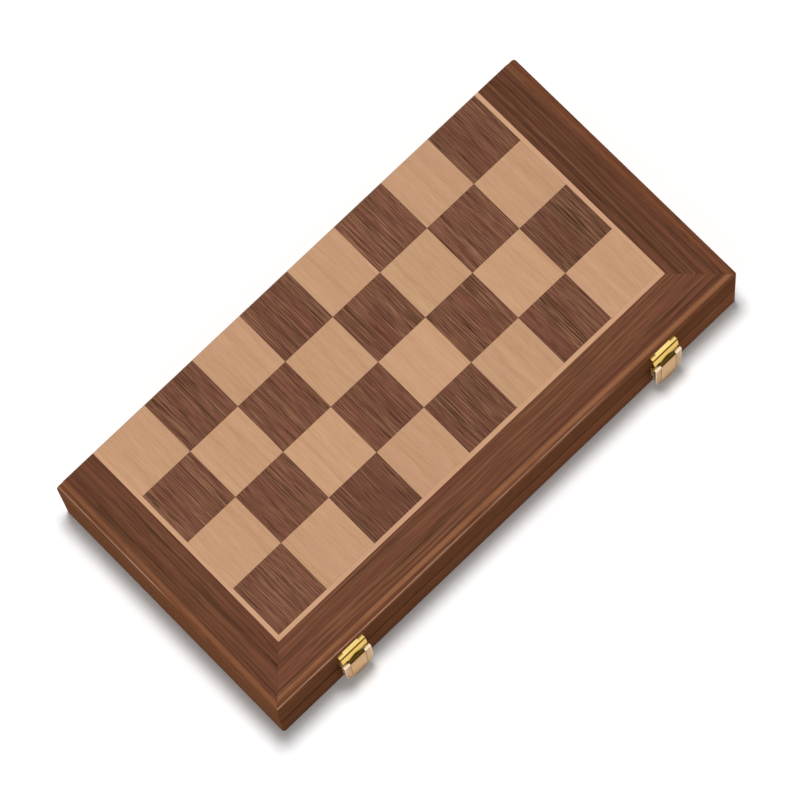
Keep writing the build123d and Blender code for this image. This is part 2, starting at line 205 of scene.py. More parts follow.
def noise(tree, vector, detail, roughness=0.5):
    """Noise of one unit's scale at a vector; returns its value."""
    sockets = {"Vector": vector, "Scale": 1.0, "Detail": detail, "Roughness": roughness}
    return add_node(tree, "TexNoise", sockets).outputs[0]


def spread(tree, value, low, high, to_low=0.0, to_high=1.0):
    """Maps low to high onto another range and stops at its ends; returns the output."""
    sockets = {"Value": value, "From Min": low, "From Max": high, "To Min": to_low, "To Max": to_high}
    return add_node(tree, "MapRange", sockets).outputs[0]


def blend_colours(tree, factor, first, second, mode="MIX"):
    """Mixes two colours; returns the output."""
    sockets = {0: factor, 6: first, 7: second}
    return add_node(tree, "Mix", sockets, data_type="RGBA", blend_type=mode).outputs[2]


def blend_values(tree, factor, first, second):
    """Mixes two values; returns the output."""
    return add_node(tree, "Mix", {0: factor, 2: first, 3: second}, data_type="FLOAT").outputs[0]


def toned(tree, colour, gain, factor=1.0):
    """A colour made lighter or darker by a gain that may change over the surface."""
    gains = add_node(tree, "CombineColor", {0: gain, 1: gain, 2: gain}).outputs[0]
    return blend_colours(tree, factor, colour, gains, "MULTIPLY")


def split_vector(tree, vector):
    """The X, Y and Z of a vector, as outputs."""
    return add_node(tree, "SeparateXYZ", {0: vector}).outputs


pores_per_metre = 1300.0


def make_wood_grain():
    """Wood with its grain along X: growth lines, broad bands, fine fibres and short dark pores."""
    group, given, result = new_group(
        "wood_grain",
        {"Vector": "Vector", "Pale": "Color", "Dark": "Color", "Tint": "Color", "Pore": "Color",
         "Line Spacing": "Float", "Line Contrast": "Float", "Band Contrast": "Float", "Sway": "Float",
         "Fibre Width": "Float", "Fibre Slimness": "Float", "Fibre Contrast": "Float",
         "Pore Length": "Float", "Pore Amount": "Float"},
        {"Color": "Color", "Roughness": "Float", "Height": "Float"},
    )
    ends = given.outputs
    wander = noise(group, scaled(group, ends["Vector"], (5, 14, 14)), 2.0)
    wander = math_node(group, "MULTIPLY", math_node(group, "SUBTRACT", wander, 0.5), ends["Sway"])
    sideways = add_node(group, "CombineXYZ", {"Y": wander, "Z": wander}).outputs[0]
    swayed = add_node(group, "VectorMath", {0: ends["Vector"], 1: sideways}, operation="ADD").outputs[0]
    per_line = math_node(group, "DIVIDE", 2.0, ends["Line Spacing"])
    line_scale = add_node(group, "CombineXYZ", {"X": 3.0, "Y": per_line, "Z": per_line}).outputs[0]
    in_lines = scaled(group, swayed, line_scale)
    across = split_vector(group, in_lines)
    crowding = noise(group, scaled(group, in_lines, (1.0, 0.14, 0.14)), 1.0)
    count = math_node(group, "ADD", across["Y"], across["Z"])
    phase = math_node(group, "MULTIPLY_ADD", crowding, 6.0, count)
    late_wood = math_node(group, "POWER", math_node(group, "PINGPONG", phase, 1.0), 3.0)
    faint = noise(group, scaled(group, in_lines, (2.0, 0.3, 0.3)), 1.0)
    strength = math_node(
        group, "MULTIPLY", spread(group, faint, 0.3, 0.7, 0.2, 1.0), ends["Line Contrast"])
    lines = math_node(group, "MULTIPLY", late_wood, strength)
    bands = spread(group, noise(group, scaled(group, in_lines, (1.6, 0.5, 0.5)), 3.0, 0.6), 0.34, 0.66)
    banded = math_node(group, "MULTIPLY_ADD", bands, ends["Band Contrast"], lines)
    per_fibre = math_node(group, "DIVIDE", 2.0, ends["Fibre Width"])
    per_length = math_node(group, "DIVIDE", per_fibre, ends["Fibre Slimness"])
    fibre_scale = add_node(group, "CombineXYZ", {"X": per_length, "Y": per_fibre, "Z": per_fibre})
    fibres = noise(group, scaled(group, swayed, fibre_scale.outputs[0]), 2.0, 0.65)
    fibred = math_node(group, "MULTIPLY", spread(group, fibres, 0.38, 0.62), ends["Fibre Contrast"])
    darkness = math_node(group, "ADD", banded, fibred, clamp=True)
    plain = blend_colours(group, darkness, ends["Pale"], ends["Dark"])
    tinted = spread(group, noise(group, scaled(group, swayed, (9, 330, 330)), 2.0), 0.4, 0.62, 0.0, 0.6)
    plain = blend_colours(group, tinted, plain, ends["Tint"])
    per_pore = math_node(group, "DIVIDE", 1.0, ends["Pore Length"])
    pore_scale = add_node(
        group, "CombineXYZ", {"X": per_pore, "Y": pores_per_metre, "Z": pores_per_metre})
    pores = noise(group, scaled(group, swayed, pore_scale.outputs[0]), 1.0)
    pores = spread(group, pores, 0.56, 0.66)
    pored = math_node(group, "MULTIPLY", pores, ends["Pore Amount"])
    group.links.new(blend_colours(group, pored, plain, ends["Pore"]), result.inputs["Color"])
    group.links.new(math_node(group, "ADD", fibres, pores), result.inputs["Roughness"])
    depth = math_node(group, "SUBTRACT", math_node(group, "MULTIPLY", fibres, 0.4), pores)
    group.links.new(depth, result.inputs["Height"])
    return group


wood_grain = make_wood_grain()
pore_depth = 0.00004


def finish_wood(tree, output, grain, colour, gloss=0.5, shine=0.12):
    """Satin lacquer over a grain: a Principled shader with uneven gloss and open pores."""
    roughness = spread(tree, grain["Roughness"], 0.3, 1.6, gloss - 0.05, gloss + 0.12)
    bump = add_node(tree, "Bump", {"Strength": 0.5, "Distance": pore_depth, "Height": grain["Height"]})
    shader = add_node(tree, "BsdfPrincipled", {
        "Base Color": colour, "Roughness": roughness, "Normal": bump.outputs[0],
        "Specular IOR Level": shine})
    tree.links.new(shader.outputs[0], output.inputs["Surface"])


def object_place(tree):
    """A point's place in the frame of the closed box."""
    return add_node(tree, "TexCoord").outputs["Object"]


def between(tree, value, low, high, soft):
    """1 where a value lies between two limits, and 0 past a soft edge."""
    return math_node(
        tree, "MULTIPLY", spread(tree, value, low - soft, low), spread(tree, value, high + soft, high))


def insets(tree, place):
    """How far a point lies inside the front edge of the board, and inside its nearer end."""
    axes = split_vector(tree, place)
    from_front = math_node(tree, "SUBTRACT", axes["Y"], board_front)
    from_end = math_node(tree, "SUBTRACT", board_half_length, math_node(tree, "ABSOLUTE", axes["X"]))
    return from_front, from_end


def patches(tree, place, least, most):
    """Wear that comes and goes over a few centimetres; returns its strength."""
    broad = noise(tree, scaled(tree, place, (40, 40, 40)), 3.0)
    return spread(tree, broad, 0.3, 0.55, least, most)


rail_wood = {
    "Pale": srgb(124, 78, 52), "Dark": srgb(82, 49, 33), "Tint": srgb(112, 66, 45),
    "Pore": srgb(60, 35, 23), "Line Spacing": 0.003, "Line Contrast": 0.6, "Band Contrast": 0.35,
    "Sway": 0.004, "Fibre Width": 0.0014, "Fibre Slimness": 45, "Fibre Contrast": 0.4,
    "Pore Length": 0.012, "Pore Amount": 0.4}
worn_and_highlight_colour = srgb(164, 128, 106)
streak_colour = srgb(142, 94, 65)
# Painted shade: the colour of the shade beside the chamfer and in the joint between the halves.
edge_and_joint_shade = srgb(44, 24, 14)
# Painted light: how much paler than the top each side of the box is painted, standing in for the light
# that falls on it. The lower front rail's painted light also changes from its left part to its right part.
side_light_gains = {
    "front": (1.1, 1.15, 1.1, 1), "back": (1.1, 1.15, 1.1, 1),
    "left": (1.37, 1.52, 1.47, 1), "right": (1.37, 1.52, 1.47, 1)}
lower_front_light_gains = (0.97, 1.4)
lower_front_span = (-0.18, 0.18)
# The paler streak's inset in the middle of the front or of an end, and its drift for each metre to
# the right or to the back. The dark line lies further in, and on the front a little nearer the edge.
front_streak_inset, front_streak_drift = 0.0049, -0.0085
end_streak_inset, end_streak_drift = 0.0046, 0.0137
streak_half_width = 0.0007
streak_fade = 0.0015
streak_patches = (0.6, 1.0)
right_streak_strength, left_streak_strength = 0.15, 0.55
lip_line = (0.0078, 0.0083)
lip_line_fade = 0.0005
front_line_shift = 0.0006
# The worn line, partly wear and partly painted highlight, runs along the front up to its right part,
# and along the back part of the left end. Near the left end it lies further in.
worn_highlight_line = (0.001, 0.0015)
worn_fade = 0.0004
worn_patches = (0.35, 0.75)
worn_front_stop = (0.1, 0.05)
worn_end_start = (-0.01, 0.015)
worn_corner_span = (-0.17, -0.1)
worn_corner_shift = -0.0005
# The streak, the worn and highlit line and the painted shade beside the chamfer end where it starts, below
# the face.
flat_depth = (0.0002, 0.0001)
# Painted shade lies beside the chamfer and in the joint between the halves.
shaded_chamfer_band = (0.0011, 0.0008)
shaded_chamfer_strength = 0.35
joint_reach = 0.001
joint_span = (-0.17, 0.0)
joint_strengths = (0.75, 0.4)


def make_lip_streak():
    """The paler streak along the outer edge, which drifts over the seam, and the dark line inside it."""
    group, given, result = new_group(
        "lip_streak", {"Vector": "Vector"}, {"Inset": "Float", "Streak": "Float", "Line": "Float"})
    axes = split_vector(group, given.outputs["Vector"])
    from_front, from_end = insets(group, given.outputs["Vector"])
    inset = math_node(group, "MINIMUM", from_front, from_end)
    on_front = math_node(group, "LESS_THAN", from_front, from_end)
    on_left = math_node(group, "LESS_THAN", axes["X"], 0.0)
    front_middle = math_node(group, "MULTIPLY_ADD", axes["X"], front_streak_drift, front_streak_inset)
    end_middle = math_node(group, "MULTIPLY_ADD", axes["Y"], end_streak_drift, end_streak_inset)
    away = math_node(group, "SUBTRACT", inset, blend_values(group, on_front, end_middle, front_middle))
    end_strength = spread(group, on_left, 0.0, 1.0, right_streak_strength, left_streak_strength)
    strength = blend_values(group, on_front, end_strength, 1.0)
    streak = between(group, away, -streak_half_width, streak_half_width, streak_fade)
    streak = math_node(group, "MULTIPLY", streak, strength)
    streak = math_node(group, "MULTIPLY", streak, patches(group, given.outputs["Vector"], *streak_patches))
    line_place = math_node(group, "MULTIPLY_ADD", on_front, front_line_shift, inset)
    line = math_node(group, "MULTIPLY", between(group, line_place, *lip_line, lip_line_fade), strength)
    group.links.new(inset, result.inputs["Inset"])
    group.links.new(streak, result.inputs["Streak"])
    group.links.new(line, result.inputs["Line"])
    return group


lip_streak = make_lip_streak()


def walnut_rail(name, grain_turn, seed):
    """Walnut with its grain along the rail, the paler streak on the lip, the worn line with its painted
    highlight, painted shade beside the chamfer and in the joint, and sides painted paler as light.
    """
    half, side, _ = name.split("_", 2)
    material, tree, output = new_material(name)
    place = object_place(tree)
    turned = add_node(tree, "Mapping", {
        "Vector": place, "Rotation": (0, 0, grain_turn), "Location": (seed, 0.37 * seed, 0.11 * seed)})
    grain = add_group(tree, wood_grain, {"Vector": turned.outputs[0], **rail_wood})
    axes = split_vector(tree, place)
    from_front, from_end = insets(tree, place)
    lip = add_group(tree, lip_streak, {"Vector": place})
    from_top = math_node(tree, "SUBTRACT", box_height, axes["Z"])
    from_face = math_node(tree, "MINIMUM", from_top, axes["Z"])
    on_face = spread(tree, from_face, *flat_depth)

    streak = math_node(tree, "MULTIPLY", lip["Streak"], on_face)
    colour = blend_colours(tree, streak, grain["Color"], streak_colour)
    # Painted shade beside the chamfer, on the face.
    rim = math_node(tree, "MULTIPLY", spread(tree, lip["Inset"], *shaded_chamfer_band), on_face)
    rim = math_node(tree, "MULTIPLY", rim, shaded_chamfer_strength)
    colour = blend_colours(tree, rim, colour, edge_and_joint_shade)

    # The worn line: partly bare wood, partly painted highlight.
    on_front = math_node(tree, "LESS_THAN", from_front, from_end)
    worn_part = math_node(tree, "MAXIMUM", on_front, spread(tree, axes["Y"], *worn_end_start))
    worn_part = math_node(tree, "MULTIPLY", worn_part, spread(tree, axes["X"], *worn_front_stop))
    corner_shift = spread(tree, axes["X"], *worn_corner_span, worn_corner_shift, 0.0)
    worn_place = math_node(tree, "ADD", lip["Inset"], corner_shift)
    worn = math_node(tree, "MULTIPLY", between(tree, worn_place, *worn_highlight_line, worn_fade), worn_part)
    worn = math_node(tree, "MULTIPLY", worn, patches(tree, place, *worn_patches))
    on_top = math_node(tree, "GREATER_THAN", axes["Z"], box_height / 2)
    worn = math_node(tree, "MULTIPLY", worn, math_node(tree, "MULTIPLY", on_face, on_top))
    colour = blend_colours(tree, worn, colour, worn_and_highlight_colour)

    # Painted light: the sides are made paler than the top by a gain for each side, and on the lower front
    # rail the gain grows towards the right.
    off_face = math_node(tree, "SUBTRACT", 1.0, on_face)
    colour = blend_colours(tree, off_face, colour, side_light_gains[side], "MULTIPLY")
    if (half, side) == ("lower", "front"):
        gain = spread(tree, axes["X"], *lower_front_span, *lower_front_light_gains)
        colour = toned(tree, colour, gain, off_face)
    # Painted shade in the joint between the halves, on the front, stronger towards the left.
    if side == "front":
        from_joint = math_node(tree, "SUBTRACT", axes["Z"], box_height / 2)
        joint = between(tree, from_joint, -joint_reach, joint_reach, joint_reach)
        strength = spread(tree, axes["X"], *joint_span, *joint_strengths)
        colour = blend_colours(tree, math_node(tree, "MULTIPLY", joint, strength), colour, edge_and_joint_shade)
    finish_wood(tree, output, grain, colour, shine=0.0)
    return material


def ease_edges(piece, width, segments=2, angle=30):
    """Rounds the sharp edges of a piece and shades the rest smooth."""
    easing = piece.modifiers.new("easing", "BEVEL")
    easing.width = width
    easing.segments = segments
    easing.limit_method = "ANGLE"
    easing.angle_limit = math.radians(angle)
    bpy.ops.object.select_all(action="DESELECT")
    piece.select_set(True)
    bpy.context.view_layer.objects.active = piece
    bpy.ops.object.modifier_apply(modifier="easing")
    bpy.ops.object.shade_smooth_by_angle(angle=math.radians(angle))


def softened_copy(node, body, easing_width):
    """A copy of a solid with its triangles joined into whole faces and its sharp edges eased."""
    bpy.ops.object.select_all(action="DESELECT")
    source = frame["nodes"][node]
    piece = source.copy()
    piece.data = source.data.copy()
    piece.name = node + "_finished"
    piece.parent = None
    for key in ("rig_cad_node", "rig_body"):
        if key in piece:
            del piece[key]
    bpy.context.scene.collection.objects.link(piece)
    bpy.context.view_layer.objects.active = piece
    piece.select_set(True)
    piece.data.materials.clear()
    bpy.ops.object.mode_set(mode="EDIT")
    bpy.ops.mesh.select_all(action="SELECT")
    bpy.ops.mesh.remove_doubles(threshold=1e-6)
    bpy.ops.mesh.dissolve_limited(angle_limit=math.radians(1))
    bpy.ops.object.mode_set(mode="OBJECT")
    ease_edges(piece, easing_width)
    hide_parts(node)
    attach(piece, body)
    return piece


rail_easing = 0.0002
for half in ("lower", "upper"):
    for seed, side in enumerate(("front", "back", "left", "right")):
        node = f"{half}_{side}_rail"
        turn = math.pi / 2 if side in ("left", "right") else 0.0
        rail = softened_copy(node, half + "_half", rail_easing)
        offset = seed + (0.5 if half == "upper" else 0.0)
        rail.data.materials.append(walnut_rail(node + "_walnut", turn, offset))

# Panels.
# A plain walnut-faced board glued into each half, behind the lip of three rails and over the back
# rail. It shows only at the back, below the edge of the veneer.


def dress_solid(node, material):
    """Gives a solid that keeps its shape its finish."""
    frame["nodes"][node].data.materials.clear()
    frame["nodes"][node].data.materials.append(material)


for half in ("lower", "upper"):
    material, tree, output = new_material(half + "_panel_walnut")
    grain = add_group(tree, wood_grain, {"Vector": object_place(tree), **rail_wood})
    finish_wood(tree, output, grain, grain["Color"])
    dress_solid(half + "_panel", material)

# Border veneer.
# Strips of walnut veneer glued round three sides of the panel, mitred at the corners, with the grain
# along each strip. The strips at the ends are a little darker than the front one. At the back a thin
# edging carries on the tone of the square beside each part of it.
files = 8
square = 0.04
back_edging = 0.0008
# Tones of the end strips against the front one. The right one darkens from the front to its middle.
left_tone = 0.92
right_tones = (0.95, 0.78)
right_tone_span = (-0.09, 0.0)
end_grain_shift = 0.4
mitre_gap = (0.0004, 0.0001)
mitre_strength = 0.2
lip_line_strength = 0.45
seam_colour = srgb(58, 34, 22)
# The edging, and the thin dark line at its back.
dark_edging = srgb(120, 80, 61)
light_edging = srgb(202, 157, 122)
edge_colour = srgb(104, 84, 70)
edge_line = (0.0005, 0.0003)
edge_line_strength = 0.5


def make_mitred_strips():
    """Turns a place on the board into one along and across the mitred strip that it lies on."""
    group, given, result = new_group(
        "mitred_strips", {"Vector": "Vector"}, {"Vector": "Vector", "Mitre": "Float"})
    axes = split_vector(group, given.outputs["Vector"])
    from_front, from_end = insets(group, given.outputs["Vector"])
    on_front = math_node(group, "LESS_THAN", from_front, from_end)
    inset = math_node(group, "MINIMUM", from_front, from_end)
    side = math_node(group, "SIGN", axes["X"])
    along_end = math_node(group, "MULTIPLY_ADD", side, end_grain_shift, axes["Y"])
    along = blend_values(group, on_front, along_end, axes["X"])
    strip = add_node(group, "CombineXYZ", {"X": along, "Y": inset, "Z": axes["Z"]})
    apart = math_node(group, "ABSOLUTE", math_node(group, "SUBTRACT", from_front, from_end))
    group.links.new(strip.outputs[0], result.inputs["Vector"])
    group.links.new(spread(group, apart, *mitre_gap), result.inputs["Mitre"])
    return group


mitred_strips = make_mitred_strips()
material, tree, output = new_material("border_walnut")
place = object_place(tree)
strips = add_group(tree, mitred_strips, {"Vector": place})
grain = add_group(tree, wood_grain, {
    "Vector": strips["Vector"], "Pale": srgb(132, 88, 62), "Dark": srgb(76, 47, 32),
    "Tint": srgb(112, 66, 50), "Pore": srgb(56, 33, 22), "Line Spacing": 0.003,
    "Line Contrast": 0.65, "Band Contrast": 0.65, "Sway": 0.003, "Fibre Width": 0.0015,
    "Fibre Slimness": 45, "Fibre Contrast": 0.35, "Pore Length": 0.02, "Pore Amount": 0.35})
lip = add_group(tree, lip_streak, {"Vector": place})
colour = blend_colours(tree, lip["Streak"], grain["Color"], streak_colour)
seams = math_node(
    tree, "MAXIMUM", math_node(tree, "MULTIPLY", lip["Line"], lip_line_strength),
    math_node(tree, "MULTIPLY", strips["Mitre"], mitre_strength))
colour = blend_colours(tree, seams, colour, seam_colour)

axes = split_vector(tree, place)
from_front, from_end = insets(tree, place)
on_end = math_node(tree, "LESS_THAN", from_end, from_front)
on_right = math_node(tree, "GREATER_THAN", axes["X"], 0.0)
right_tone = spread(tree, axes["Y"], *right_tone_span, *right_tones)
colour = toned(tree, colour, blend_values(tree, on_right, left_tone, right_tone), on_end)

from_back = math_node(tree, "SUBTRACT", board_back, axes["Y"])
file = math_node(tree, "FLOOR", math_node(tree, "DIVIDE", axes["X"], square))
on_upper = math_node(tree, "GREATER_THAN", axes["Z"], box_height / 2)
pale = math_node(tree, "SUBTRACT", on_upper, math_node(tree, "FLOORED_MODULO", file, 2.0))
pale = math_node(tree, "ABSOLUTE", pale)
edging_colour = blend_colours(tree, pale, dark_edging, light_edging)
at_edge = math_node(tree, "MULTIPLY", spread(tree, from_back, *edge_line), edge_line_strength)
edging_colour = blend_colours(tree, at_edge, edging_colour, edge_colour)
on_edging = math_node(
    tree, "MULTIPLY", math_node(tree, "LESS_THAN", from_back, back_edging),
    math_node(tree, "LESS_THAN", math_node(tree, "ABSOLUTE", axes["X"]), files / 2 * square))
colour = blend_colours(tree, on_edging, colour, edging_colour)
finish_wood(tree, output, grain, colour, shine=0.06)
for half in ("lower", "upper"):
    dress_solid(half + "_border_veneer", material)

# Stringing.
# A narrow strip of maple, glued down between the border and the squares and flush with both. It is
# mitred like the border.
maple = {
    "Pale": srgb(200, 158, 122), "Dark": srgb(179, 136, 102), "Tint": srgb(194, 150, 120),
    "Pore": srgb(166, 124, 92), "Line Spacing": 0.006, "Line Contrast": 0.2, "Band Contrast": 0.45,
    "Sway": 0.006, "Fibre Width": 0.002, "Fibre Slimness": 16, "Fibre Contrast": 0.45,
    "Pore Length": 0.006, "Pore Amount": 0.12}
maple_mitre_strength = 0.35
material, tree, output = new_material("stringing_maple")
strips = add_group(tree, mitred_strips, {"Vector": object_place(tree)})
grain = add_group(tree, wood_grain, {
    "Vector": strips["Vector"], **maple, "Pale": srgb(202, 158, 125), "Dark": srgb(189, 145, 111)})
seam = math_node(tree, "MULTIPLY", strips["Mitre"], maple_mitre_strength)
finish_wood(tree, output, grain, blend_colours(tree, seam, grain["Color"], maple["Pore"]))
for half in ("lower", "upper"):
    dress_solid(half + "_stringing", material)

# Squares.
# Walnut and maple veneer, glued to the panel. Each square comes from another part of the sheet, so it
# has its own tone, and its grain runs from the hinge side to the front.
cut_apart = (3.0, 0.7, 0.2)


def make_board_squares():
    """Gives each square its own random value, and a place with X along its grain."""
    group, given, result = new_group(
        "board_squares", {"Vector": "Vector"}, {"Vector": "Vector", "Tone": "Float"})
    axes = split_vector(group, given.outputs["Vector"])
    file = math_node(group, "FLOOR", math_node(group, "DIVIDE", axes["X"], square))
    from_back = math_node(group, "SUBTRACT", axes["Y"], board_back - back_edging)
    rank = math_node(group, "FLOOR", math_node(group, "DIVIDE", from_back, square))
    half = math_node(group, "GREATER_THAN", axes["Z"], box_height / 2)
    number = add_node(group, "CombineXYZ", {"X": file, "Y": rank, "Z": half}).outputs[0]
    tone = add_node(group, "TexWhiteNoise", {"Vector": number})
    along = add_node(group, "CombineXYZ", {"X": axes["Y"], "Y": axes["X"], "Z": axes["Z"]}).outputs[0]
    moved = add_node(
        group, "VectorMath", {0: tone.outputs["Color"], 1: cut_apart, 2: along},
        operation="MULTIPLY_ADD")
    group.links.new(moved.outputs[0], result.inputs["Vector"])
    group.links.new(tone.outputs["Value"], result.inputs["Tone"])
    return group


board_squares = make_board_squares()
# For each kind: the tones of its darkest and its palest square, and its wood.
veneers = {
    "dark_squares": ((0.82, 1.04), {
        "Pale": srgb(150, 106, 81), "Dark": srgb(72, 44, 29), "Tint": srgb(114, 69, 55),
        "Pore": srgb(60, 36, 24), "Line Spacing": 0.004, "Line Contrast": 0.15, "Band Contrast": 0.2,
        "Sway": 0.0015, "Fibre Width": 0.0009, "Fibre Slimness": 60, "Fibre Contrast": 1.0,
        "Pore Length": 0.012, "Pore Amount": 0.45}),
    "light_squares": ((0.93, 1.02), maple),
}
for kind, (tones, wood) in veneers.items():
    material, tree, output = new_material(kind)
    cells = add_group(tree, board_squares, {"Vector": object_place(tree)})
    grain = add_group(tree, wood_grain, {"Vector": cells["Vector"], **wood})
    shade = spread(tree, cells["Tone"], 0.0, 1.0, *tones)
    finish_wood(tree, output, grain, toned(tree, grain["Color"], shade))
    for half in ("lower", "upper"):
        dress_solid(f"{half}_{kind}", material)

# Trays.
# One moulded insert in each half, covered with short dark green flock. A man lies in each tapered
# half-round trough up to its own axis: the pieces along the front, the pawns along the hinges.
mm = 0.001
man_clearance = 0.3
foot_height = 4.0
foot_line = 82.15
man_pitch = 46.2
trough_easing = 0.7
trough_sides = 44
# For each kind: base radius, widest radius near the tip, height, and its places in the row.
troughs = {
    "rook": (11.5, 8.51, 40, (0, 7)),
    "knight": (11.5, 10.35, 48, (1, 6)),
    "bishop": (11.5, 5.75, 54, (2, 5)),
    "queen": (12.0, 7.44, 62, (3,)),
    "king": (12.0, 7.44, 70, (4,)),
    "pawn": (9.5, 5.89, 36, range(files)),
}


def lying_place(kind, place, height, axis_height):
    """Where a point of a lying man's axis is, height above its foot, and how the man is turned."""
    side = 1 if kind == "pawn" else -1
    x = (place + 0.5 - files / 2) * man_pitch
    return Vector((x, side * (foot_line - height), axis_height)) * mm, (side * math.pi / 2, 0, 0)


def add_block(place, size, turn=(0, 0, 0)):
    """A plain block, to shape or to cut with."""
    bpy.ops.object.select_all(action="DESELECT")
    bpy.ops.mesh.primitive_cube_add(size=1, location=place, rotation=turn, scale=size)
    return bpy.context.object


def cut_away(piece, cutter):
    """Takes a cutter's shape out of a piece, and removes the cutter."""
    cutting = piece.modifiers.new("cutting", "BOOLEAN")
    cutting.operation = "DIFFERENCE"
    cutting.solver = "EXACT"
    cutting.object = cutter
    bpy.context.view_layer.objects.active = piece
    bpy.ops.object.modifier_apply(modifier="cutting")
    bpy.data.objects.remove(cutter)


def settle(piece):
    """Puts a piece's place and turn into its mesh."""
    bpy.ops.object.select_all(action="DESELECT")
    piece.select_set(True)
    bpy.context.view_layer.objects.active = piece
    bpy.ops.object.transform_apply(location=True, rotation=True, scale=True)


flock, tree, output = new_material("tray_flock")
place = object_place(tree)
pile = noise(tree, scaled(tree, place, (2400, 2400, 2400)), 2.0, 0.7)
brushed = noise(tree, scaled(tree, place, (60, 60, 60)), 2.0)
shade = math_node(tree, "MULTIPLY_ADD", pile, 0.55, math_node(tree, "MULTIPLY", brushed, 0.45))
colour = blend_colours(tree, spread(tree, shade, 0.3, 0.7), srgb(18, 46, 32), srgb(44, 88, 62))
bump = add_node(tree, "Bump", {"Strength": 0.6, "Distance": 0.0002, "Height": pile})
shader = add_node(tree, "BsdfPrincipled", {
    "Base Color": colour, "Roughness": 0.95, "Normal": bump.outputs[0], "Sheen Weight": 0.4,
    "Sheen Roughness": 0.5, "Specular IOR Level": 0.1})
tree.links.new(shader.outputs[0], output.inputs["Surface"])

axis_heights = {}
for half in ("lower", "upper"):
    low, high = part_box(half + "_tray")
    axis_heights[half] = (high.z if half == "lower" else low.z) / mm
    tray = add_block((low + high) / 2, high - low)
    tray.name = half + "_fitted_tray"
    settle(tray)
    for kind, (base, top, height, places) in troughs.items():
        taper = (base - top) / (height - foot_height)
        wide = base + man_clearance + taper * (foot_height + man_clearance)
        depth = height + 2 * man_clearance
        for number in places:
            location, rotation = lying_place(kind, number, height / 2, axis_heights[half])
            bpy.ops.object.select_all(action="DESELECT")
            bpy.ops.mesh.primitive_cone_add(
                vertices=trough_sides, radius1=wide * mm, radius2=(wide - taper * depth) * mm,
                depth=depth * mm, location=location, rotation=rotation)
            cut_away(tray, bpy.context.object)
    ease_edges(tray, trough_easing * mm)
    tray.data.materials.append(flock)
    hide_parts(half + "_tray")
    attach(tray, half + "_half")

# Chessmen.
# Turned from boxwood, and from wood stained dark, and polished. The knights' heads are carved and
# pegged to turned feet. The light men lie in the lower half and the dark men in the upper one.
turning_sides = 40
cut_steps = 6
battlements = 6
scallops = 8
mane_cuts = 6
turned_easing = 0.2
fine_easing = 0.15
cross_easing = 0.25
turned_angle = 50
foot_bevel = 0.5
man_woods = {
    "light": {
        "Pale": srgb(222, 182, 122), "Dark": srgb(186, 140, 84), "Tint": srgb(206, 160, 98),
        "Pore": srgb(150, 108, 64)},
    "dark": {
        "Pale": srgb(84, 48, 32), "Dark": srgb(44, 24, 17), "Tint": srgb(70, 36, 24),
        "Pore": srgb(24, 14, 10)},
}


def turn_piece(name, start_radius, cuts):
    """Turns a standing piece from a disc, in millimetres. Each cut carries the profile on to a radius
    and height: a line, or a quarter round that leaves the last ring level or upright."""
    bpy.ops.object.select_all(action="DESELECT")
    bpy.ops.mesh.primitive_circle_add(
        vertices=turning_sides, radius=start_radius * mm, fill_type="NGON")
    piece = bpy.context.object
    piece.name = name
    bpy.ops.object.mode_set(mode="EDIT")
    bpy.ops.mesh.select_all(action="SELECT")
    radius, height = start_radius, 0.0
    for shape, end_radius, end_height in cuts:
        first_radius, first_height = radius, height
        steps = 1 if shape == "line" else cut_steps
        for step in range(1, steps + 1):
            turn = step / steps * math.pi / 2
            out, up = {
                "line": (1, 1),
                "level": (math.sin(turn), 1 - math.cos(turn)),
                "upright": (1 - math.cos(turn), math.sin(turn)),
            }[shape]
            new_radius = first_radius + (end_radius - first_radius) * out
            new_height = first_height + (end_height - first_height) * up
            rise = (new_height - height) * mm
            bpy.ops.mesh.extrude_region_move(TRANSFORM_OT_translate={"value": (0, 0, rise)})
            factor = new_radius / radius
            bpy.ops.transform.resize(value=(factor, factor, 1), center_override=(0, 0, new_height * mm))
            radius, height = new_radius, new_height
    bpy.ops.mesh.select_all(action="SELECT")
    bpy.ops.mesh.normals_make_consistent(inside=False)
    bpy.ops.object.mode_set(mode="OBJECT")
    bpy.ops.object.shade_smooth_by_angle(angle=math.radians(35))
    return piece


def foot_cuts(radius, stem_radius, stem_height):
    """The foot that the men share: a rounded rim, a step and a shoulder, under a stem that curves in."""
    return [
        ("line", radius, 0.6), ("line", radius, 2.2), ("upright", radius - 1.2, 3.7),
        ("line", radius - 1.7, 3.7), ("line", radius - 1.7, 4.4), ("upright", 0.7 * radius, 7.4),
        ("line", 0.66 * radius, 7.5), ("level", stem_radius, stem_height)]


def collar_cuts(height, neck_radius):
    """A wide collar with a small bead over it, under a neck."""
    return [
        ("upright", 5.6, height), ("line", 6.8, height + 0.3), ("level", 7.5, height + 1.2),
        ("upright", 6.8, height + 2.1), ("line", 5.4, height + 2.4), ("level", 6.0, height + 3.0),
        ("upright", 5.4, height + 3.6), ("line", neck_radius, height + 4.8)]


def turn_man(kind, stem_radius, stem_height, cuts):
    """Turns a man from its foot up. The cuts go on from the top of the stem."""
    radius = troughs[kind][0]
    return turn_piece(kind, radius - foot_bevel, foot_cuts(radius, stem_radius, stem_height) + cuts)


def make_pawn():
    """A ball on a collared stem."""
    return turn_man("pawn", 3.3, 19.4, [
        ("upright", 4.2, 20.7), ("line", 5.6, 20.9), ("level", 6.2, 21.6), ("upright", 5.5, 22.3),
        ("line", 4.0, 22.9), ("level", 5.85, 29.6), ("upright", 0.2, 36.0)])


